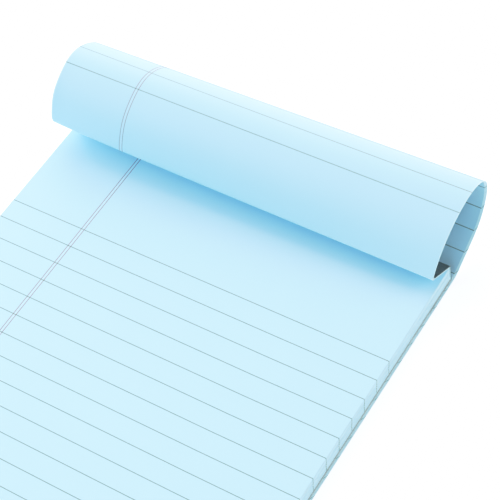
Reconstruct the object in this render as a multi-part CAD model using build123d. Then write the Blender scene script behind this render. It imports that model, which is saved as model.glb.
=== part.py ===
from build123d import *
import os
from math import cos, sin, tan, radians

# Junior legal pad lying flat, with its top sheets folded back over the binding and tucked
# under the backing board. Origin: centre of the pad on the plane it lies on.
# +X across the page, +Y toward the binding, +Z up. Millimetres.

PAD_WIDTH = 127.0
PAD_LENGTH = 203.2
STACK_HEIGHT = 4.9        # sheets still lying on the pad
BOARD_THICKNESS = 0.9     # chipboard back
FLIPPED_THICKNESS = 0.5   # the folded-back sheets together
GLUE_THICKNESS = 0.3      # padding compound along the top edges
TAPE_THICKNESS = 0.2
RESTING_GAP = 0.05        # air between the tape and the folded-back sheets
TAPE_BACK = 12.0          # depth of the tape under the board
FOLD_DEPTH = 11.4         # spine to the fold, along the lifted header strip
TOUCH_DOWN = 0.3          # tape on the spine to where the curl meets the table
FLAP_RISE = 32.0          # lift of the header strip above the pad, degrees
LEAN_LEFT = 108.0         # heading of the sheets past the fold, from level and rearward, degrees
LEAN_RIGHT = 43.5
CURL_SAMPLES = 36

# Levels
BOARD_Z = FLIPPED_THICKNESS + RESTING_GAP + TAPE_THICKNESS
STACK_Z = BOARD_Z + BOARD_THICKNESS
TOP_Z = STACK_Z + STACK_HEIGHT
SPINE_Y = PAD_LENGTH / 2

# The tape ends where the sharper end of the fold leaves room for it
HALF_FOLD = radians((LEAN_RIGHT + FLAP_RISE) / 2)
FOLDED_IN = FLIPPED_THICKNESS + RESTING_GAP + TAPE_THICKNESS
TAPE_FLAP = FOLD_DEPTH - FOLDED_IN / tan(HALF_FOLD) - RESTING_GAP

# Outer face of the curl at each end, from past the fold to where it meets the table:
# (distance behind the spine, height above the top page). The left end stands looser.
TABLE_POINT = (GLUE_THICKNESS + TAPE_THICKNESS + TOUCH_DOWN, -TOP_Z)
CURL_LEFT = [
    (-8.6, 16.0), (-1.7, 22.2), (6.3, 24.3), (13.5, 21.0), (18.2, 14.5),
    (18.0, 7.5), (12.8, 0.2), (6.2, -4.8), TABLE_POINT,
]
CURL_RIGHT = [
    (-2.4, 12.1), (5.5, 15.6), (13.6, 17.2), (19.6, 14.9), (22.1, 10.4),
    (19.9, 4.6), (13.4, -1.1), (6.5, -4.9), TABLE_POINT,
]

# Direction of the lifted strip from the spine, and the normal on its upper side
RISE = radians(FLAP_RISE)
ALONG = Vector(0, -cos(RISE), sin(RISE))
ABOVE = Vector(0, sin(RISE), cos(RISE))


def at(x, u, v):
    """Point u behind the spine and v above the top page."""
    return Vector(x, SPINE_Y + u, TOP_Z + v)


def inward(tangent):
    """Unit normal pointing into the curl."""
    return Vector(0, tangent.Z, -tangent.Y).normalized()


def strip(x, along, above):
    """Point on the lifted strip, a way from the spine and a height over its underside."""
    return at(x, 0, 0) + ALONG * along + ABOVE * above


def strip_level(x, u, above):
    """Point over the spine on the line that runs at a height over the strip's underside."""
    return at(x, u, above / cos(RISE) - u * tan(RISE))


def curl_edge(x, lean, curl):
    """Outer face of the sheets at one end, from the fold to the table."""
    points = [strip(x, FOLD_DEPTH, 0)] + [at(x, u, v) for u, v in curl]
    start = Vector(0, cos(radians(lean)), sin(radians(lean)))
    return Edge.make_spline(points, tangents=[start, Vector(0, -1, 0)], scale=False)


def curl_section(x, lean, curl):
    """Outline of the lifted strip and the curl at one end of the pad."""
    outer = curl_edge(x, lean, curl)
    fold, table = outer @ 0, outer @ 1
    normal = inward(outer % 0)
    corner = fold + (ABOVE + normal) * (FLIPPED_THICKNESS / (1 + ABOVE.dot(normal)))
    inner_points = [corner]
    for i in range(1, CURL_SAMPLES + 1):
        t = i / CURL_SAMPLES
        inner_points.append(outer @ t + inward(outer % t) * FLIPPED_THICKNESS)
    ends = [outer % 0, Vector(0, -1, 0)]
    hinge = strip_level(x, 0, FLIPPED_THICKNESS)
    return Wire([
        Edge.make_line(at(x, 0, 0), fold),
        outer,
        Edge.make_line(table, inner_points[-1]),
        Edge.make_spline(inner_points, tangents=ends, scale=False),
        Edge.make_line(corner, hinge),
        Edge.make_line(hinge, at(x, 0, 0)),
    ])


def folded_sheets():
    """Sheets drawn straight across between the curl's ends, with the rest flat underneath."""
    left, right = -PAD_WIDTH / 2, PAD_WIDTH / 2
    ends = ((left, LEAN_LEFT, CURL_LEFT), (right, LEAN_RIGHT, CURL_RIGHT))
    curl = Solid.make_loft([curl_section(*end) for end in ends], ruled=True)
    tucks = [PAD_LENGTH - FOLD_DEPTH - curl_edge(*end).length for end in ends]
    back = SPINE_Y + TABLE_POINT[0]
    outline = Wire.make_polygon([
        (left, back, 0), (right, back, 0), (right, back - tucks[1], 0), (left, back - tucks[0], 0),
    ])
    return curl.fuse(extrude(Face(outline), FLIPPED_THICKNESS, dir=(0, 0, 1)))


def bar(points):
    """Solid with the given outline, drawn across the pad's full width."""
    return extrude(Face(Wire.make_polygon(points)), PAD_WIDTH, dir=(1, 0, 0))


def glue():
    """Padding compound, topped off level with the lifted sheets."""
    x, board = -PAD_WIDTH / 2, BOARD_Z - TOP_Z
    return bar([
        at(x, 0, board),
        at(x, GLUE_THICKNESS, board),
        strip_level(x, GLUE_THICKNESS, FLIPPED_THICKNESS),
        strip_level(x, 0, FLIPPED_THICKNESS),
    ])


def tape():
    """Tape wrapped from the lifted header strip, down the spine and under the board."""
    x, board = -PAD_WIDTH / 2, BOARD_Z - TOP_Z
    lower = FLIPPED_THICKNESS + RESTING_GAP
    upper = lower + TAPE_THICKNESS
    rear = GLUE_THICKNESS + TAPE_THICKNESS
    return bar([
        strip(x, TAPE_FLAP, lower),
        strip(x, TAPE_FLAP, upper),
        strip_level(x, rear, upper),
        at(x, rear, board - TAPE_THICKNESS),
        at(x, -TAPE_BACK, board - TAPE_THICKNESS),
        at(x, -TAPE_BACK, board),
        at(x, GLUE_THICKNESS, board),
        strip_level(x, GLUE_THICKNESS, lower),
    ])


def slab(z, height):
    """Full-size leaf or pile of leaves, square with the pad."""
    base = (Align.CENTER, Align.CENTER, Align.MIN)
    return Pos(0, 0, z) * Box(PAD_WIDTH, PAD_LENGTH, height, align=base)


parts = {
    "sheet_stack": slab(STACK_Z, STACK_HEIGHT),
    "backing_board": slab(BOARD_Z, BOARD_THICKNESS),
    "spine_glue": glue(),
    "binding_tape": tape(),
    "flipped_sheets": folded_sheets(),
}

os.makedirs("parts", exist_ok=True)
for name, shape in parts.items():
    export_step(shape, f"parts/{name}.step")
    print(name, "volume", round(shape.volume, 1), "valid", shape.is_valid)
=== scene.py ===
import math
import bpy
import numpy as np
from mathutils import Matrix, Vector


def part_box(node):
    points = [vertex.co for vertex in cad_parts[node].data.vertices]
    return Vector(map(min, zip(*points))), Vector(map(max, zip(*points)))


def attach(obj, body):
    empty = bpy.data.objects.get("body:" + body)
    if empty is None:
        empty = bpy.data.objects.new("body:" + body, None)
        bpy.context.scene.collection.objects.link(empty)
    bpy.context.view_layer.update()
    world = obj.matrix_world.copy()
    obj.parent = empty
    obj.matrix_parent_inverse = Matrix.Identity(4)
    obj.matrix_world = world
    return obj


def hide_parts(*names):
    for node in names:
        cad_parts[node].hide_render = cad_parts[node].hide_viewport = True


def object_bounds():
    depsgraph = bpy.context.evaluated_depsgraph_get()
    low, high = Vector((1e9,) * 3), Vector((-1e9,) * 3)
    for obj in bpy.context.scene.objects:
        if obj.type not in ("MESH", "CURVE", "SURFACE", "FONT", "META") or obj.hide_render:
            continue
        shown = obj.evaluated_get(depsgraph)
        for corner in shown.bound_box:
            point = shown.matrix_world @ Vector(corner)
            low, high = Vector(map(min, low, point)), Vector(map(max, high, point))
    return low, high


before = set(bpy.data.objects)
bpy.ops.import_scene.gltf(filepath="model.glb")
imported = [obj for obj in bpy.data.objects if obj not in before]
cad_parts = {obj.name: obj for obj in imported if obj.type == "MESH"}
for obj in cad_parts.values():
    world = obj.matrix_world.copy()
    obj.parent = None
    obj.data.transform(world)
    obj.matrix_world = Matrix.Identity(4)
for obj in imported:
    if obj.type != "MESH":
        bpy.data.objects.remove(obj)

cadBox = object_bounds()
mm = 0.001
stackLow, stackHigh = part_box("sheet_stack")
spineY = stackHigh.y
pageTop = stackHigh.z
leftX, rightX = stackLow.x, stackHigh.x

camera = {
    "target": (0.01031, 0.08256, 0.00655),
    "distance": 0.46565,
    "azimuth": 41.70,      # degrees, from straight up the page toward the right
    "elevation": 51.80,
    "roll": -12.40,
    "lens": 118.89,
    "sensor": 36.0,
    "nearest": 0.01,       # what it shows, in metres
    "farthest": 20,
}
film = {
    "white": 1.5,          # scene light that shows as white; the pairs are (light, shown)
    "shoulder": ((0.6, 0.6), (0.8, 0.75), (1.0, 0.87), (1.2, 0.96), (1.4, 1.0)),
    "red": ((0.34, 0.34), (0.42, 0.445), (0.54, 0.562), (0.63, 0.632), (0.8, 0.8)),
    "green": ((0.60, 0.62), (0.90, 0.888), (1.14, 1.10), (1.25, 1.195), (1.41, 1.36)),
}


def placeCamera(look):
    data = bpy.data.cameras.new("viewCamera")
    data.lens, data.sensor_width = look["lens"], look["sensor"]
    data.clip_start, data.clip_end = look["nearest"], look["farthest"]
    turn = (Matrix.Rotation(math.radians(look["azimuth"]), 4, "Z")
            @ Matrix.Rotation(math.radians(90 - look["elevation"]), 4, "X")
            @ Matrix.Rotation(math.radians(look["roll"]), 4, "Z"))
    back = turn @ Vector((0, 0, look["distance"]))
    body = bpy.data.objects.new("viewCamera", data)
    body.matrix_world = Matrix.Translation(Vector(look["target"]) + back) @ turn
    bpy.context.scene.collection.objects.link(body)
    bpy.context.scene.camera = body


def setFilm(look):
    # plain display, with the brightest tones eased into white as film does, and red and
    # green bent a little
    view = bpy.context.scene.view_settings
    view.view_transform = "Standard"
    view.use_curve_mapping = True
    mapping = view.curve_mapping
    mapping.white_level = (look["white"],) * 3
    for channel, key, top in ((0, "red", look["white"]), (1, "green", look["white"]),
                              (3, "shoulder", 1)):
        curve = mapping.curves[channel]
        for light, shown in look[key]:
            curve.points.new(light / look["white"], shown / top)
        for point in curve.points:
            point.handle_type = "VECTOR"
    mapping.update()


placeCamera(camera)
setFilm(film)
print("camera placed")


def newGroup(name, inputs, outputs):
    tree = bpy.data.node_groups.new(name, "ShaderNodeTree")
    for label, kind, value in inputs:
        socket = tree.interface.new_socket(label, in_out="INPUT", socket_type=kind)
        if value is not None:
            socket.default_value = value
    for label, kind in outputs:
        tree.interface.new_socket(label, in_out="OUTPUT", socket_type=kind)
    return tree, tree.nodes.new("NodeGroupInput"), tree.nodes.new("NodeGroupOutput")


def mathNode(tree, operation, a, b=None, c=None, clamp=False):
    node = tree.nodes.new("ShaderNodeMath")
    node.operation, node.use_clamp = operation, clamp
    for index, value in enumerate((a, b, c)):
        if value is None:
            continue
        if isinstance(value, bpy.types.NodeSocket):
            tree.links.new(value, node.inputs[index])
        else:
            node.inputs[index].default_value = value
    return node.outputs[0]


def mixColour(tree, factor, a, b):
    node = tree.nodes.new("ShaderNodeMix")
    node.data_type = "RGBA"
    for socket, value in ((node.inputs[0], factor), (node.inputs[6], a), (node.inputs[7], b)):
        if isinstance(value, bpy.types.NodeSocket):
            tree.links.new(value, socket)
        else:
            socket.default_value = value if isinstance(value, float) else (*value, 1)
    return node.outputs[2]


def noise(tree, vector, scale):
    node = tree.nodes.new("ShaderNodeTexNoise")
    for label, value in (("Scale", scale), ("Detail", 2.0), ("Roughness", 0.55)):
        node.inputs[label].default_value = value
    tree.links.new(vector, node.inputs["Vector"])
    return node.outputs["Fac"]


def makeFibreGroup():
    # felted fibres: a tone round 1 for the colour and a height for the bump
    tree, source, sink = newGroup(
        "paperFibre",
        [("Vector", "NodeSocketVector", None), ("Fibre Scale", "NodeSocketFloat", 900.0),
         ("Cloud Scale", "NodeSocketFloat", 60.0), ("Tone Amount", "NodeSocketFloat", 0.03)],
        [("Tone", "NodeSocketFloat"), ("Height", "NodeSocketFloat")])
    fine = tree.nodes.new("ShaderNodeTexNoise")
    fine.inputs["Detail"].default_value = 6
    fine.inputs["Distortion"].default_value = 0.6
    cloud = tree.nodes.new("ShaderNodeTexNoise")
    cloud.inputs["Detail"].default_value = 3
    for node, scale in ((fine, "Fibre Scale"), (cloud, "Cloud Scale")):
        tree.links.new(source.outputs["Vector"], node.inputs["Vector"])
        tree.links.new(source.outputs[scale], node.inputs["Scale"])
    both = mathNode(tree, "ADD", mathNode(tree, "MULTIPLY", fine.outputs["Fac"], 0.5),
                    mathNode(tree, "MULTIPLY", cloud.outputs["Fac"], 0.5))
    centred = mathNode(tree, "SUBTRACT", both, 0.5)
    tone = mathNode(tree, "MULTIPLY_ADD", centred, source.outputs["Tone Amount"], 1.0)
    tree.links.new(tone, sink.inputs["Tone"])
    tree.links.new(fine.outputs["Fac"], sink.inputs["Height"])
    return tree


def makeRuleGroup():
    # masks of the printed lines, from the distances down and across the page in metres
    tree, source, sink = newGroup(
        "printedRules",
        [("Along", "NodeSocketFloat", 0.0), ("Across", "NodeSocketFloat", 0.0),
         ("First Rule", "NodeSocketFloat", 0.035), ("Pitch", "NodeSocketFloat", 0.0066),
         ("Rule Width", "NodeSocketFloat", 0.0002), ("Margin", "NodeSocketFloat", 0.025),
         ("Margin Gap", "NodeSocketFloat", 0.001), ("Margin Width", "NodeSocketFloat", 0.0002)],
        [("Rule", "NodeSocketFloat"), ("Margin", "NodeSocketFloat"),
         ("Between", "NodeSocketFloat")])
    pin = source.outputs
    steps = mathNode(tree, "DIVIDE", mathNode(tree, "SUBTRACT", pin["Along"], pin["First Rule"]),
                     pin["Pitch"])
    off = mathNode(tree, "SUBTRACT", steps, mathNode(tree, "ROUND", steps))
    far = mathNode(tree, "MULTIPLY", mathNode(tree, "ABSOLUTE", off), pin["Pitch"])
    half = mathNode(tree, "MULTIPLY", pin["Rule Width"], 0.5)
    line = mathNode(tree, "LESS_THAN", far, half)
    started = mathNode(tree, "GREATER_THAN", steps, -0.5)
    tree.links.new(mathNode(tree, "MULTIPLY", line, started), sink.inputs["Rule"])

    # two lines either side of the middle of the gap
    halfGap = mathNode(tree, "MULTIPLY", pin["Margin Gap"], 0.5)
    middle = mathNode(tree, "ADD", halfGap, pin["Margin"])
    reach = mathNode(tree, "ABSOLUTE", mathNode(tree, "SUBTRACT", pin["Across"], middle))
    miss = mathNode(tree, "ABSOLUTE", mathNode(tree, "SUBTRACT", reach, halfGap))
    pair = mathNode(tree, "LESS_THAN", miss, mathNode(tree, "MULTIPLY", pin["Margin Width"], 0.5))
    tree.links.new(pair, sink.inputs["Margin"])
    between = mathNode(tree, "LESS_THAN", reach, halfGap)
    tree.links.new(between, sink.inputs["Between"])
    return tree


fibreGroup = makeFibreGroup()
ruleGroup = makeRuleGroup()


def useGroup(tree, group, values):
    node = tree.nodes.new("ShaderNodeGroup")
    node.node_tree = group
    for key, value in values.items():
        socket = node.inputs[key]
        if isinstance(value, bpy.types.NodeSocket):
            tree.links.new(value, socket)
        else:
            socket.default_value = value
    return node.outputs


def startMaterial(name, rough, specular):
    material = bpy.data.materials.new(name)
    material.use_nodes = True
    tree = material.node_tree
    shader = tree.nodes["Principled BSDF"]
    shader.inputs["Roughness"].default_value = rough
    shader.inputs["Specular IOR Level"].default_value = specular
    where = tree.nodes.new("ShaderNodeTexCoord").outputs["Object"]
    return material, tree, shader, where


def addBump(tree, shader, height, strength, distance):
    bump = tree.nodes.new("ShaderNodeBump")
    bump.inputs["Strength"].default_value = strength
    bump.inputs["Distance"].default_value = distance
    tree.links.new(height, bump.inputs["Height"])
    tree.links.new(bump.outputs["Normal"], shader.inputs["Normal"])


def scaleColour(tree, colour, factor):
    node = tree.nodes.new("ShaderNodeVectorMath")
    node.operation = "SCALE"
    if isinstance(colour, bpy.types.NodeSocket):
        tree.links.new(colour, node.inputs[0])
    else:
        node.inputs[0].default_value = colour
    tree.links.new(factor, node.inputs["Scale"])
    return node.outputs[0]


paper = {
    "colour": (0.516, 0.780, 0.930),
    "ruleInk": (0.13, 0.17, 0.12),
    "marginInk": (0.245, 0.13, 0.19),
    "betweenTint": (0.74, 0.80, 0.93),   # paler paper between the margin lines
    "wearAndHighlightTint": (0.72, 0.90, 0.96),      # lighter along a fold and beside a cut: painted highlight there, with some worn fibres
    "edgeTint": (0.60, 0.81, 0.85),      # cut edges, greyer than the faces
    "edgeStrength": 0.85,
    "edgeFacing": 0.7,                   # how squarely sideways a folded sheet's cut edge looks
    "streak": 0.5,                       # light and dark between the sheets' edges
    "streakScale": (70, 70, 3200),
    "ruleStrength": 0.80,
    "marginStrength": 0.85,
    "betweenStrength": 0.15,
    "wearAndHighlightStrength": 0.95,
    "backStrength": 0.78,                # the back's print, beside the front's
    "rough": 0.78,
    "specular": 0.25,
    "fibre": {"Fibre Scale": 2200.0, "Cloud Scale": 55.0, "Tone Amount": 0.05},
    "bump": (0.12, 0.04 * mm),           # strength and depth
}
page = {
    "firstRule": 34.2 * mm,        # top edge of the sheet to its first rule
    "backFirstRule": 30.9 * mm,    # the same on the back of a folded sheet
    "foldedFirstRule": 35.6 * mm,  # and on its front
    "pitch": 6.63 * mm,
    "ruleWidth": 0.26 * mm,
    "margin": 25.2 * mm,
    "backMargin": 24.15 * mm,
    "marginGap": 0.95 * mm,
    "marginWidth": 0.25 * mm,
    "border": 0.14 * mm,           # strip beside a folded sheet's cut ends, painted lighter as a highlight with some wear
    "drift": 0.16,                 # how far the print creeps forward with depth in the pile
    "dip": 0.33 * mm,              # how far it slips footward where the pages dip mid-length
    "dipLength": 66 * mm,          # from the first rule
    "dipEdge": 30 * mm,            # and how far in from the right edge it sets in
}


def streaks(tree, where):
    # fine bands that run along the cut edges of the sheets
    stretch = tree.nodes.new("ShaderNodeVectorMath")
    stretch.operation = "MULTIPLY"
    stretch.inputs[1].default_value = paper["streakScale"]
    tree.links.new(where, stretch.inputs[0])
    bands = noise(tree, stretch.outputs[0], 1.0)
    return mathNode(tree, "MULTIPLY_ADD", mathNode(tree, "SUBTRACT", bands, 0.5),
                    paper["streak"], 1.0)


def normalAxis(tree, axis):
    split = tree.nodes.new("ShaderNodeSeparateXYZ")
    tree.links.new(tree.nodes.new("ShaderNodeNewGeometry").outputs["True Normal"], split.inputs[0])
    return mathNode(tree, "ABSOLUTE", split.outputs[axis])


def paintPaper(tree, shader, where, along, across, first, margin, edge, back=None, wearAndHighlight=None):
    lines = useGroup(tree, ruleGroup, {
        "Along": along, "Across": across, "First Rule": first, "Pitch": page["pitch"],
        "Rule Width": page["ruleWidth"], "Margin": margin, "Margin Gap": page["marginGap"],
        "Margin Width": page["marginWidth"]})
    fibre = useGroup(tree, fibreGroup, {"Vector": where, **paper["fibre"]})

    def share(mask, strength, printed=False):
        part = mathNode(tree, "MULTIPLY", mask, paper[strength])
        if printed and back is not None:
            part = mathNode(tree, "MULTIPLY", part, mathNode(
                tree, "MULTIPLY_ADD", back, paper["backStrength"] - 1, 1.0))
        return part

    colour = mixColour(tree, share(lines["Between"], "betweenStrength"), paper["colour"],
                       paper["betweenTint"])
    if wearAndHighlight is not None:
        # painted highlight along the crease and beside the cut ends, standing partly for worn
        # fibres
        colour = mixColour(tree, share(wearAndHighlight, "wearAndHighlightStrength"), colour, paper["wearAndHighlightTint"])
    cut = scaleColour(tree, paper["edgeTint"], streaks(tree, where))
    colour = mixColour(tree, share(edge, "edgeStrength"), colour, cut)
    colour = mixColour(tree, share(lines["Margin"], "marginStrength", True), colour,
                       paper["marginInk"])
    colour = mixColour(tree, share(lines["Rule"], "ruleStrength", True), colour,
                       paper["ruleInk"])
    tree.links.new(scaleColour(tree, colour, fibre["Tone"]), shader.inputs["Base Color"])
    addBump(tree, shader, fibre["Height"], *paper["bump"])


def makePageMaterial():
    # pages lying flat: the lines follow the pad's own directions
    material, tree, shader, where = startMaterial("ruledPage", paper["rough"], paper["specular"])
    split = tree.nodes.new("ShaderNodeSeparateXYZ")
    tree.links.new(where, split.inputs[0])
    depth = mathNode(tree, "SUBTRACT", pageTop, split.outputs["Z"])
    along = mathNode(tree, "SUBTRACT", spineY, split.outputs["Y"])
    along = mathNode(tree, "MULTIPLY_ADD", depth, -page["drift"], along)
    across = mathNode(tree, "SUBTRACT", split.outputs["X"], leftX)
    down = mathNode(tree, "DIVIDE", mathNode(tree, "SUBTRACT", along, page["firstRule"]),
                    page["dipLength"], clamp=True)
    bowl = mathNode(tree, "MULTIPLY", mathNode(tree, "MULTIPLY", down, 4.0),
                    mathNode(tree, "SUBTRACT", 1.0, down))
    inside = mathNode(tree, "DIVIDE", mathNode(tree, "SUBTRACT", rightX, split.outputs["X"]),
                      page["dipEdge"], clamp=True)
    slip = mathNode(tree, "MULTIPLY", mathNode(tree, "MULTIPLY", bowl, inside), page["dip"])
    along = mathNode(tree, "SUBTRACT", along, slip)
    edge = mathNode(tree, "SUBTRACT", 1.0, normalAxis(tree, "Z"))
    paintPaper(tree, shader, where, along, across, page["firstRule"], page["margin"], edge)
    return material


def makeFoldedMaterial():
    # folded pages: the lines follow the sheet, with the back printed at its own height
    material, tree, shader, where = startMaterial("ruledFolded", paper["rough"], paper["specular"])
    reads = {}
    for name in ("pageAlong", "pageAcross", "pageBack", "pageCrease"):
        node = tree.nodes.new("ShaderNodeAttribute")
        node.attribute_name = name
        reads[name] = node.outputs["Fac"]
    isBack = mathNode(tree, "GREATER_THAN", reads["pageBack"], 0.5)
    first = mathNode(tree, "MULTIPLY_ADD", isBack,
                     page["backFirstRule"] - page["foldedFirstRule"], page["foldedFirstRule"])
    margin = mathNode(tree, "MULTIPLY_ADD", isBack, page["backMargin"] - page["margin"],
                      page["margin"])
    edge = mathNode(tree, "GREATER_THAN", normalAxis(tree, "X"), paper["edgeFacing"])
    half = (rightX - leftX) / 2
    border = mathNode(tree, "GREATER_THAN", mathNode(tree, "ABSOLUTE", mathNode(
        tree, "SUBTRACT", reads["pageAcross"], half)), half - page["border"])
    # crease rows and cut-end strips that get the painted highlight, partly wear
    wearAndHighlight = mathNode(tree, "MAXIMUM", reads["pageCrease"], border)
    paintPaper(tree, shader, where, reads["pageAlong"], reads["pageAcross"], first, margin, edge,
               isBack, wearAndHighlight)
    return material


pageMaterial = makePageMaterial()
foldedMaterial = makeFoldedMaterial()
print("paper materials made")


pile = {
    "sheets": 49,
    "gap": 0.006 * mm,      # air between sheets
    "stray": 0.07 * mm,     # how far a sheet's edges miss the pile's
    "seed": 4,
}


def pileTree(material):
    tree = bpy.data.node_groups.new("pagePile", "GeometryNodeTree")
    face = tree.interface
    face.new_socket("Geometry", in_out="INPUT", socket_type="NodeSocketGeometry")
    for label, kind in (("Sheets", "NodeSocketInt"), ("Size", "NodeSocketVector"),
                        ("Base", "NodeSocketVector"), ("Pitch", "NodeSocketFloat"),
                        ("Stray", "NodeSocketFloat"), ("Seed", "NodeSocketInt")):
        face.new_socket(label, in_out="INPUT", socket_type=kind)
    face.new_socket("Geometry", in_out="OUTPUT", socket_type="NodeSocketGeometry")
    pin = tree.nodes.new("NodeGroupInput").outputs
    link = tree.links.new

    sheet = tree.nodes.new("GeometryNodeMeshCube")
    link(pin["Size"], sheet.inputs["Size"])
    step = tree.nodes.new("ShaderNodeCombineXYZ")
    link(pin["Pitch"], step.inputs["Z"])
    levels = tree.nodes.new("GeometryNodeMeshLine")
    link(pin["Sheets"], levels.inputs["Count"])
    link(pin["Base"], levels.inputs["Start Location"])
    link(step.outputs[0], levels.inputs["Offset"])

    # each sheet strays a little sideways
    stray = tree.nodes.new("FunctionNodeRandomValue")
    stray.data_type = "FLOAT_VECTOR"
    reach = tree.nodes.new("ShaderNodeCombineXYZ")
    link(pin["Stray"], reach.inputs["X"])
    link(pin["Stray"], reach.inputs["Y"])
    back = tree.nodes.new("ShaderNodeVectorMath")
    back.operation = "SCALE"
    back.inputs["Scale"].default_value = -1
    link(reach.outputs[0], back.inputs[0])
    link(back.outputs[0], stray.inputs["Min"])
    link(reach.outputs[0], stray.inputs["Max"])
    link(pin["Seed"], stray.inputs["Seed"])
    shift = tree.nodes.new("GeometryNodeSetPosition")
    link(levels.outputs["Mesh"], shift.inputs["Geometry"])
    link(stray.outputs["Value"], shift.inputs["Offset"])

    copies = tree.nodes.new("GeometryNodeInstanceOnPoints")
    link(shift.outputs["Geometry"], copies.inputs["Points"])
    link(sheet.outputs["Mesh"], copies.inputs["Instance"])
    real = tree.nodes.new("GeometryNodeRealizeInstances")
    link(copies.outputs["Instances"], real.inputs["Geometry"])
    paint = tree.nodes.new("GeometryNodeSetMaterial")
    paint.inputs["Material"].default_value = material
    link(real.outputs["Geometry"], paint.inputs["Geometry"])
    link(paint.outputs["Geometry"], tree.nodes.new("NodeGroupOutput").inputs["Geometry"])
    return tree


def growMesh(name, tree, values):
    host = bpy.data.objects.new(name + "Host", bpy.data.meshes.new(name + "Host"))
    bpy.context.scene.collection.objects.link(host)
    modifier = host.modifiers.new("grow", "NODES")
    modifier.node_group = tree
    for item in tree.interface.items_tree:
        if item.in_out == "INPUT" and item.name in values:
            modifier[item.identifier] = values[item.name]
    bpy.context.view_layer.update()
    mesh = bpy.data.meshes.new_from_object(
        host.evaluated_get(bpy.context.evaluated_depsgraph_get()))
    bpy.data.objects.remove(host)
    mesh.name = name
    if mesh.materials[0] is None:
        mesh.materials.pop(index=0)
    piece = bpy.data.objects.new(name, mesh)
    bpy.context.scene.collection.objects.link(piece)
    return piece


size = stackHigh - stackLow
pitch = size.z / pile["sheets"]
thick = pitch - pile["gap"]
middle = (stackLow + stackHigh) / 2
pagePile = growMesh("pagePile", pileTree(pageMaterial), {
    "Sheets": pile["sheets"],
    "Size": (size.x - 2 * pile["stray"], size.y - 2 * pile["stray"], thick),
    "Base": (middle.x, middle.y, stackHigh.z - thick / 2 - (pile["sheets"] - 1) * pitch),
    "Pitch": pitch,
    "Stray": pile["stray"],
    "Seed": pile["seed"],
})
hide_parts("sheet_stack")
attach(pagePile, "root")
print("page pile made", len(pagePile.data.polygons), "faces")


folded = {
    "sheets": 5,
    "pitch": 0.1 * mm,
    "thickness": 0.085 * mm,
    "stray": 0.04 * mm,           # sideways, sheet to sheet
    "fan": 0.13 * mm,             # each sheet further left than the one outside it
    "skew": ((0, 0), (14, -0.2), (30, -0.2), (60, 0.5), (210, 0.5)),   # mm down the sheet, right
    "foldDepths": (13.83, 10.58),  # mm from here on: spine to fold at the left and right ends
    "rises": (44.3, 29.6),        # lift of the header strip there, degrees
    "leans": (100.0, 44.0),       # heading past the fold, from level and rearward, degrees
    "foldRound": 0.6,             # run of the crease either side of the fold
    "sag": 0.6,                   # how far the fold hangs below straight between its ends
    "sagFades": 28.0,             # past the fold
    "curls": (                    # (behind the spine, above the top page) to the table
        ((-9.3, 12.6), (-6.5, 17.8), (-0.6, 22.3), (6.6, 24.3), (13.6, 21.5), (18.6, 15.0),
         (18.6, 7.9), (13.4, 0.4), (6.6, -4.7), (0.8, -6.55)),
        ((-5.2, 9.3), (0.2, 13.1), (7.0, 15.8), (14.2, 17.0), (19.6, 15.6), (22.3, 13.0),
         (22.6, 9.6), (20.4, 4.6), (15.8, 0.0), (10.2, -2.9), (5.2, -5.2), (0.8, -6.55))),
    "length": 203.2,
    "rows": (10, 10, 110, 40),    # strip, fold, curl, tuck
    "columns": 32,
    "samples": 800,               # along the curl's curve before it is cut into rows
    "ruleArcs": ((19.77, 26.75), (20.04, 27.12)),   # past the fold, to the back's first two rules
    "seed": 11,
}


def unit(angle):
    return np.array((math.cos(math.radians(angle)), math.sin(math.radians(angle))))


def smoothCurve(points, start, end, count, steps=2000):
    # twice-smooth curve through the points with set end directions, evenly sampled by length
    points = np.array(points, float)
    knots = np.concatenate(([0], np.cumsum(np.linalg.norm(np.diff(points, axis=0), axis=1))))
    gaps = np.diff(knots)
    size = len(points)
    grid, right = np.eye(size), np.zeros((size, 2))
    right[0], right[-1] = start, end
    for i in range(1, size - 1):
        a, b = gaps[i - 1], gaps[i]
        grid[i, i - 1:i + 2] = b, 2 * (a + b), a
        right[i] = 3 * (b * (points[i] - points[i - 1]) / a + a * (points[i + 1] - points[i]) / b)
    slopes = np.linalg.solve(grid, right)

    def along(value):
        i = np.clip(np.searchsorted(knots, value, side="right") - 1, 0, size - 2)
        h = gaps[i][:, None]
        t = ((value - knots[i]) / gaps[i])[:, None]
        return (points[i] * (1 + 2 * t) * (1 - t) ** 2 + slopes[i] * h * t * (1 - t) ** 2
                + points[i + 1] * t * t * (3 - 2 * t) + slopes[i + 1] * h * t * t * (t - 1))

    dense = along(np.linspace(0, knots[-1], steps))
    arc = np.concatenate(([0], np.cumsum(np.linalg.norm(np.diff(dense, axis=0), axis=1))))
    even = np.linspace(0, arc[-1], count)
    return np.stack([np.interp(even, arc, dense[:, k]) for k in (0, 1)], 1), even


def normalsOf(path):
    heading = np.gradient(path, axis=0)
    heading /= np.linalg.norm(heading, axis=1)[:, None]
    return np.stack((heading[:, 1], -heading[:, 0]), 1)


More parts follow.
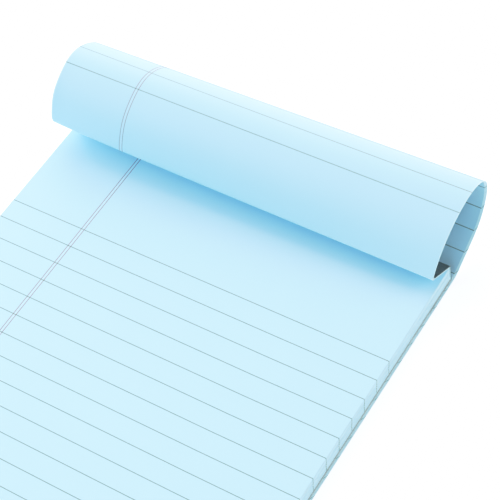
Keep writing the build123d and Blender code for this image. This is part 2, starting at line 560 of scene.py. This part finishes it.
def sheetPath(end, inward, level):
    # one face of a folded sheet at the left or right end, a depth inside the outermost face,
    # with the distance down the sheet and how much of the sag each point takes; the distance
    # is measured at the sheet's own level, so the inner sheets reach further under the board
    rise, lean = folded["rises"][end], folded["leans"][end]
    depth, rounding, rows = folded["foldDepths"][end], folded["foldRound"], folded["rows"]
    ahead, start = unit(180 - rise), unit(lean)
    above, inside = unit(90 - rise), unit(lean - 90)
    fold = ahead * depth
    curve, arc = smoothCurve([fold, *folded["curls"][end]], start, (-1, 0), folded["samples"])
    offset = curve + normalsOf(curve) * inward
    lost = inward / math.tan(math.radians(rise + lean) / 2)
    corner = fold + (above + inside) * inward / (1 + above @ inside)

    reach = np.linspace(inward * math.tan(math.radians(rise)), depth - lost - rounding, rows[0],
                        endpoint=False)
    strip = above * inward + ahead * reach[:, None]
    first = above * inward + ahead * (depth - lost - rounding)
    last = np.array([np.interp(lost + rounding, arc, offset[:, k]) for k in (0, 1)])
    t = np.linspace(0, 1, rows[1], endpoint=False)[:, None]
    turn = (1 - t) ** 2 * first + 2 * t * (1 - t) * corner + t * t * last
    even = np.linspace(lost + rounding, arc[-1], rows[2], endpoint=False)
    body = np.stack([np.interp(even, arc, offset[:, k]) for k in (0, 1)], 1)

    own = curve + normalsOf(curve) * level
    ownArc = np.concatenate(([0], np.cumsum(np.linalg.norm(np.diff(own, axis=0), axis=1))))
    run = np.linspace(0, folded["length"] - depth - ownArc[-1], rows[3])
    tuck = offset[-1] - run[:, None] * np.array((1, 0))
    way = np.concatenate((reach, depth + (lost + rounding) * (2 * t[:, 0] - 1),
                          depth + np.interp(even, arc, ownArc), depth + ownArc[-1] + run))
    share = np.where(way < depth, way / depth,
                     np.clip(1 - (way - depth) / folded["sagFades"], 0, 1) ** 2)
    return np.concatenate((strip, turn, body, tuck)), way, share


def sagAt(t):
    return folded["sag"] * math.sin(math.pi * math.sqrt(t))


def printAt(end, past):
    # distance down the page of what is printed there, an arc past the fold at one end
    first, second = folded["ruleArcs"][end]
    upper = page["backFirstRule"] / mm
    lower = upper + page["pitch"] / mm
    rest = folded["length"]
    return np.interp(past, (0, first, second, second + rest),
                     (folded["foldDepths"][end], upper, lower, lower + rest))


def sheetFace(inward, level, columns):
    # points of one face, column by column from the left, with the print's place on the sheet
    ends = []
    for end in (0, 1):
        path, way, share = sheetPath(end, inward, level)
        past = way - folded["foldDepths"][end]
        ends.append((path, np.where(past > 0, printAt(end, past), way), share))
    (left, leftWay, leftShare), (right, rightWay, rightShare) = ends
    paths, prints = [], []
    for t in columns:
        path = left * (1 - t) + right * t
        path[:, 1] -= (leftShare * (1 - t) + rightShare * t) * sagAt(t)
        paths.append(path)
        prints.append((leftWay * (1 - t) + rightWay * t) * mm)
    return paths, prints


def place(paths, columns, sideways=0.0):
    # paths as (behind the spine, above the top page) in mm, to points in space, with a shift
    # to the right for them all or for each row
    grid = np.zeros((len(columns), len(paths[0]), 3))
    for c, (t, path) in enumerate(zip(columns, paths)):
        grid[c, :, 0] = leftX + (rightX - leftX) * t + sideways
        grid[c, :, 1] = spineY + path[:, 0] * mm
        grid[c, :, 2] = pageTop + path[:, 1] * mm
    return grid


def closedSheet(name, outside, inside, material):
    # thin closed body between two grids of points, with crisp rims
    columns, rows = outside.shape[:2]
    total = columns * rows
    faces = []
    for c in range(columns - 1):
        for r in range(rows - 1):
            a, b = c * rows + r, (c + 1) * rows + r
            faces.append((a, b, b + 1, a + 1))
            faces.append((total + a, total + a + 1, total + b + 1, total + b))
    flat = len(faces)
    ring = [c * rows for c in range(columns)]
    ring += [(columns - 1) * rows + r for r in range(1, rows)]
    ring += [c * rows + rows - 1 for c in range(columns - 2, -1, -1)]
    ring += [r for r in range(rows - 2, 0, -1)]
    for a, b in zip(ring, ring[1:] + ring[:1]):
        faces.append((a, total + a, total + b, b))
    mesh = bpy.data.meshes.new(name)
    mesh.from_pydata([tuple(p) for p in outside.reshape(-1, 3)]
                     + [tuple(p) for p in inside.reshape(-1, 3)], [], faces)
    mesh.polygons.foreach_set("use_smooth", [i < flat for i in range(len(faces))])
    rims = {tuple(sorted(pair)) for a, b in zip(ring, ring[1:] + ring[:1])
            for pair in ((a, b), (total + a, total + b))}
    for edge in mesh.edges:
        edge.use_edge_sharp = tuple(sorted(edge.vertices)) in rims
    mesh.materials.append(material)
    mesh.update()
    piece = bpy.data.objects.new(name, mesh)
    bpy.context.scene.collection.objects.link(piece)
    return piece


def spread(count, rim=0.0008):
    # even columns, with a narrow one beside each end to keep its shading crisp
    columns = np.linspace(0, 1, count + 1)
    return np.concatenate(((0, rim), columns[1:-1], (1 - rim, 1)))


def foldedSheet(index, stray):
    columns = spread(folded["columns"])
    outer = index * folded["pitch"] / mm
    outPaths, outPrints = sheetFace(outer, outer, columns)
    inPaths, inPrints = sheetFace(outer + folded["thickness"] / mm, outer, columns)
    places, shifts = zip(*folded["skew"])
    sideways = stray - index * folded["fan"] + np.interp(outPrints[-1] / mm, places, shifts) * mm
    sheet = closedSheet(f"foldedSheet{index + 1}", place(outPaths, columns, sideways),
                        place(inPaths, columns, sideways), foldedMaterial)
    rows = len(outPaths[0])
    width = rightX - leftX
    # the crease rows are painted lighter: a painted highlight along the fold, partly fibre wear
    wearAndHighlight = np.zeros(rows)
    wearAndHighlight[folded["rows"][0]:sum(folded["rows"][:2])] = np.sin(
        np.linspace(0, math.pi, folded["rows"][1]))
    values = {
        "pageAlong": np.concatenate(outPrints + inPrints),
        "pageAcross": np.tile(np.repeat(columns * width, rows), 2),
        "pageBack": np.repeat((1.0, 0.0), len(columns) * rows),
        "pageCrease": np.concatenate((np.tile(wearAndHighlight, len(columns)), np.zeros(len(columns) * rows))),
    }
    for name, numbers in values.items():
        sheet.data.attributes.new(name, "FLOAT", "POINT").data.foreach_set("value", numbers)
    return sheet


random = np.random.default_rng(folded["seed"])
for index in range(folded["sheets"]):
    sheet = foldedSheet(index, random.uniform(-1, 1) * folded["stray"])
    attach(sheet, "root")
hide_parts("flipped_sheets")


tape = {
    "colour": (0.052, 0.072, 0.076),
    "grainLight": 1.6,            # the grain's paler side, times the colour
    "grainScale": 1800,
    "rough": 0.55,
    "specular": 0.35,
    "fibre": {"Fibre Scale": 1200.0, "Cloud Scale": 80.0, "Tone Amount": 0.35},
    "bump": (0.35, 0.1 * mm),     # strength and depth
    "thickness": 0.2,             # mm from here on
    "gap": 0.035,                 # to the folded sheets
    "boardGap": 0.01,             # to the board
    "flap": 9.4,                  # width on the header strip
    "under": 12.0,                # width under the board
    "behind": 0.31,               # inner face behind the spine
    "topRound": 0.4,
    "bottomRound": 0.25,
    "rows": (12, 8, 12, 5, 12),   # flap, top corner, spine, bottom corner, under the board
    "columns": 32,
}


def makeTapeMaterial():
    material, tree, shader, where = startMaterial("bindingTape", tape["rough"], tape["specular"])
    grain = tree.nodes.new("ShaderNodeTexVoronoi")
    grain.feature = "SMOOTH_F1"
    grain.inputs["Scale"].default_value = tape["grainScale"]
    tree.links.new(where, grain.inputs["Vector"])
    fibre = useGroup(tree, fibreGroup, {"Vector": where, **tape["fibre"]})
    plain = mixColour(tree, grain.outputs["Distance"], tape["colour"],
                      tuple(v * tape["grainLight"] for v in tape["colour"]))
    tree.links.new(scaleColour(tree, plain, fibre["Tone"]), shader.inputs["Base Color"])
    addBump(tree, shader, grain.outputs["Distance"], *tape["bump"])
    return material


def roundCorner(corner, before, after, radius, count):
    # arc that joins two straight runs, given their headings at the corner
    turn = math.acos(max(-1.0, min(1.0, float(before @ after))))
    side = np.array((before[1], -before[0]))   # both corners of the tape turn this way
    centre = corner - before * radius * math.tan(turn / 2) + side * radius
    angles = np.linspace(0, turn, count)[:, None]
    return centre - side * radius * np.cos(angles) + before * radius * np.sin(angles)


def tapePath(t, boardLow):
    # outer face of the tape, from the flap over the spine to under the board
    folds = [unit(180 - rise) * depth
             for rise, depth in zip(folded["rises"], folded["foldDepths"])]
    fold = folds[0] * (1 - t) + folds[1] * t - np.array((0, sagAt(t)))
    rise = math.degrees(math.atan2(fold[1], -fold[0]))
    sheets = ((folded["sheets"] - 1) * folded["pitch"] + folded["thickness"]) / mm
    above = unit(90 - rise) * (sheets + tape["gap"] + tape["thickness"])
    back = unit(-rise)
    rear = tape["behind"] + tape["thickness"]
    low = boardLow - tape["boardGap"] - tape["thickness"]
    hip = above + back * ((rear - above[0]) / back[0])
    heel = np.array((rear, low))
    down, ahead = np.array((0.0, -1.0)), np.array((-1.0, 0.0))
    over = roundCorner(hip, back, down, tape["topRound"], tape["rows"][1])
    under = roundCorner(heel, down, ahead, tape["bottomRound"], tape["rows"][3])

    def run(start, end, count):
        return start + (end - start) * np.linspace(0, 1, count)[:, None]

    return np.concatenate((
        run(above - back * tape["flap"], over[0], tape["rows"][0])[:-1], over,
        run(over[-1], under[0], tape["rows"][2])[1:-1], under,
        run(under[-1], np.array((-tape["under"], low)), tape["rows"][4])[1:]))


def makeTape():
    columns = spread(tape["columns"])
    boardLow = (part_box("backing_board")[0].z - pageTop) / mm
    outer = [tapePath(t, boardLow) for t in columns]
    inner = [path + normalsOf(path) * tape["thickness"] for path in outer]
    return closedSheet("tapeStrip", place(outer, columns), place(inner, columns),
                       makeTapeMaterial())


tapeStrip = makeTape()
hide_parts("binding_tape")
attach(tapeStrip, "root")
print("tape made")


board = {
    "colour": (0.31, 0.37, 0.38),
    "fleck": (0.16, 0.19, 0.20),
    "fleckScale": 2600.0,
    "fleckEdge": (0.62, 0.72),    # noise at which a fleck starts and is full
    "rough": 0.9,
    "specular": 0.2,
    "fibre": {"Fibre Scale": 1500.0, "Cloud Scale": 140.0, "Tone Amount": 0.5},
    "bump": (0.4, 0.08 * mm),
}
glue = {
    "colour": (0.30, 0.52, 0.60),
    "rough": 0.45,
    "specular": 0.4,
    "fibre": {"Fibre Scale": 700.0, "Cloud Scale": 90.0, "Tone Amount": 0.15},
    "bump": (0.3, 0.1 * mm),
}


def makeBoardMaterial():
    material, tree, shader, where = startMaterial("greyChipboard", board["rough"],
                                                  board["specular"])
    fibre = useGroup(tree, fibreGroup, {"Vector": where, **board["fibre"]})
    flecks = tree.nodes.new("ShaderNodeValToRGB")
    for element, position in zip(flecks.color_ramp.elements, board["fleckEdge"]):
        element.position = position
    tree.links.new(noise(tree, where, board["fleckScale"]), flecks.inputs["Fac"])
    colour = mixColour(tree, flecks.outputs["Color"], board["colour"], board["fleck"])
    tree.links.new(scaleColour(tree, colour, fibre["Tone"]), shader.inputs["Base Color"])
    addBump(tree, shader, fibre["Height"], *board["bump"])
    return material


def makeGlueMaterial():
    material, tree, shader, where = startMaterial("paddingGlue", glue["rough"], glue["specular"])
    fibre = useGroup(tree, fibreGroup, {"Vector": where, **glue["fibre"]})
    tree.links.new(scaleColour(tree, glue["colour"], fibre["Tone"]),
                   shader.inputs["Base Color"])
    addBump(tree, shader, fibre["Height"], *glue["bump"])
    return material


for node, material in (("backing_board", makeBoardMaterial()), ("spine_glue", makeGlueMaterial())):
    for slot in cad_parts[node].material_slots:
        slot.material = material
print("board and glue finished")


studio = {
    "floor": (0.93, 0.93, 0.93),
    "floorRough": 0.9,
    "floorGlow": 0.66,
    "floorReach": 9.0,
    "floorGap": 0.05 * mm,         # below the pad
    "domeColour": (0.96, 0.91, 0.93),
    "dome": 0.42,
    "aim": (0, 0.03, 0),
    "lampSize": 0.9,
    "lamps": {                     # place, colour, power
        "leftKey": ((-1.0, 0.05, 0.6), (1, 1, 1), 12.5),
        "rightLight": ((0.9, 0.75, 0.5), (1, 1, 1), 6.3),
        "backLight": ((-0.25, 0.65, 1.1), (1, 1, 1), 3.6),
        "farLight": ((-0.6, 0.95, 0.5), (1, 1, 1), 6.2),
        "frontFill": ((0.15, -1.0, 0.75), (0.13, 0.70, 0.98), 6.9),
    },
}


def makeFloor():
    mesh = bpy.data.meshes.new("floor")
    reach = studio["floorReach"]
    level = cadBox[0].z - studio["floorGap"]
    mesh.from_pydata([(-reach, -reach, level), (reach, -reach, level), (reach, reach, level),
                      (-reach, reach, level)], [], [(0, 1, 2, 3)])
    floor = bpy.data.objects.new("floor", mesh)
    bpy.context.scene.collection.objects.link(floor)
    material, _, shader, _ = startMaterial("paleFloor", studio["floorRough"], 0.0)
    shader.inputs["Base Color"].default_value = (*studio["floor"], 1)
    shader.inputs["Emission Color"].default_value = (1, 1, 1, 1)
    shader.inputs["Emission Strength"].default_value = studio["floorGlow"]
    mesh.materials.append(material)


def makeLights():
    world = bpy.data.worlds.new("softDome")
    world.use_nodes = True
    sky = world.node_tree.nodes["Background"].inputs
    sky["Color"].default_value = (*studio["domeColour"], 1)
    sky["Strength"].default_value = studio["dome"]
    bpy.context.scene.world = world
    for name, (spot, colour, power) in studio["lamps"].items():
        data = bpy.data.lights.new(name, "AREA")
        data.shape, data.size = "SQUARE", studio["lampSize"]
        data.color, data.energy = colour, power
        lamp = bpy.data.objects.new(name, data)
        lamp.location = spot
        aim = Vector(studio["aim"]) - Vector(spot)
        lamp.rotation_euler = aim.to_track_quat("-Z", "Y").to_euler()
        bpy.context.scene.collection.objects.link(lamp)


makeFloor()
makeLights()
print("floor and light set")
